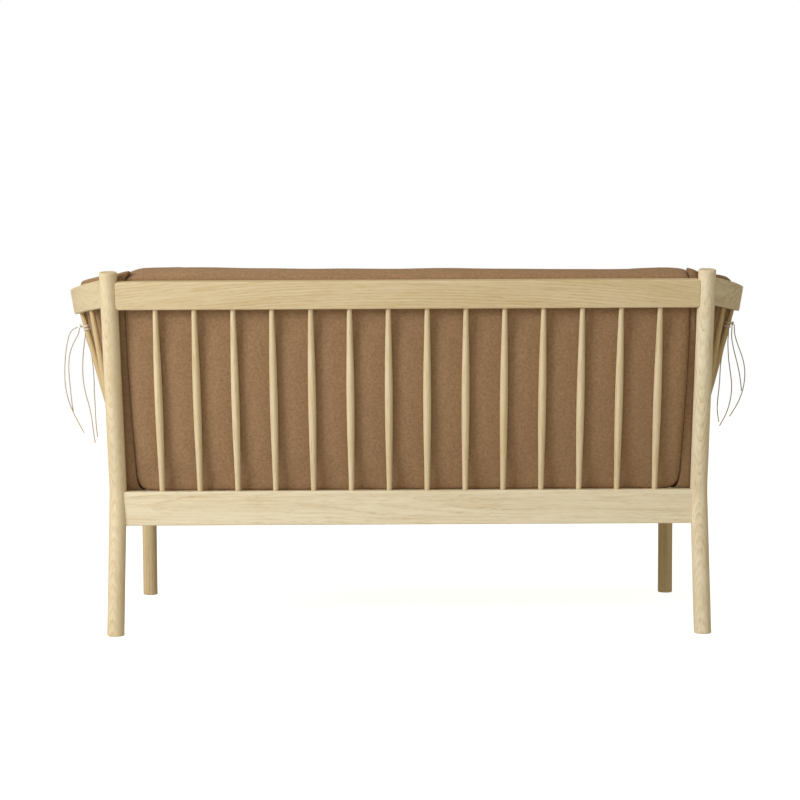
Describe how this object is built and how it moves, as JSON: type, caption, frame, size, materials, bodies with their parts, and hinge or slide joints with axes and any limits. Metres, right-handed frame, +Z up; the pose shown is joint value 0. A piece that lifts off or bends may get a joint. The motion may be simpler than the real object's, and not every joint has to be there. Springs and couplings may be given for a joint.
{
  "type": "loveseat",
  "caption": "Wooden loveseat with a raked spindle back, short splayed arms, a slatted seat deck and loose cushions; the side cushions are tied to the arm spindles with laces.",
  "frame": {"origin": "on the floor, in the middle of the footprint of the frame and cushions", "axes": "+X to the sitter's left, +Y to the back, +Z up; the seat opens towards -Y"},
  "size_m": [1.5472, 0.7093, 0.7685],
  "materials": {
    "pale_oak": "soaped, matt",
    "deck_wood": "planed, bare",
    "wool_fabric": "woven melange wool",
    "leather_lace": "undyed",
    "screw_steel": "zinc plated"
  },
  "bodies": {
    "frame": {"arm_rail_left": "pale_oak", "arm_rail_right": "pale_oak", "arm_spindle_left_1": "pale_oak", "arm_spindle_left_2": "pale_oak", "arm_spindle_right_1": "pale_oak", "arm_spindle_right_2": "pale_oak", "back_spindle_01": "pale_oak", "back_spindle_02": "pale_oak", "back_spindle_03": "pale_oak", "back_spindle_04": "pale_oak", "back_spindle_05": "pale_oak", "back_spindle_06": "pale_oak", "back_spindle_07": "pale_oak", "back_spindle_08": "pale_oak", "back_spindle_09": "pale_oak", "back_spindle_10": "pale_oak", "back_spindle_11": "pale_oak", "back_spindle_12": "pale_oak", "back_spindle_13": "pale_oak", "back_spindle_14": "pale_oak", "cleat_screws": "screw_steel", "corner_block_front_left": "deck_wood", "corner_block_front_right": "deck_wood", "corner_block_rear_left": "deck_wood", "corner_block_rear_right": "deck_wood", "crest_rail": "pale_oak", "front_leg_left": "pale_oak", "front_leg_right": "pale_oak", "front_seat_rail": "pale_oak", "lace_left_1": "leather_lace", "lace_left_2": "leather_lace", "lace_left_3": "leather_lace", "lace_left_4": "leather_lace", "lace_right_1": "leather_lace", "lace_right_2": "leather_lace", "lace_right_3": "leather_lace", "lace_right_4": "leather_lace", "rear_post_left": "pale_oak", "rear_post_right": "pale_oak", "rear_seat_rail": "pale_oak", "seat_slats": "deck_wood", "side_cushion_left": "wool_fabric", "side_cushion_right": "wool_fabric", "side_seat_rail_left": "pale_oak", "side_seat_rail_right": "pale_oak", "slat_cleat_front": "deck_wood", "slat_cleat_rear": "deck_wood", "slat_screws": "screw_steel", "tie_left_inner": "leather_lace", "tie_left_outer": "leather_lace", "tie_right_inner": "leather_lace", "tie_right_outer": "leather_lace"},
    "seat_cushion": {"seat_cushion": "wool_fabric"},
    "back_cushion": {"back_cushion": "wool_fabric"}
  },
  "joints": [
    {"name": "seat_cushion_lift", "type": "slide", "parent": "frame", "child": "seat_cushion", "axis": [0, 0, 1], "range_m": [0, 0.5]},
    {"name": "back_cushion_lift", "type": "slide", "parent": "frame", "child": "back_cushion", "axis": [0, 0, 1], "range_m": [0, 0.5]}
  ]
}
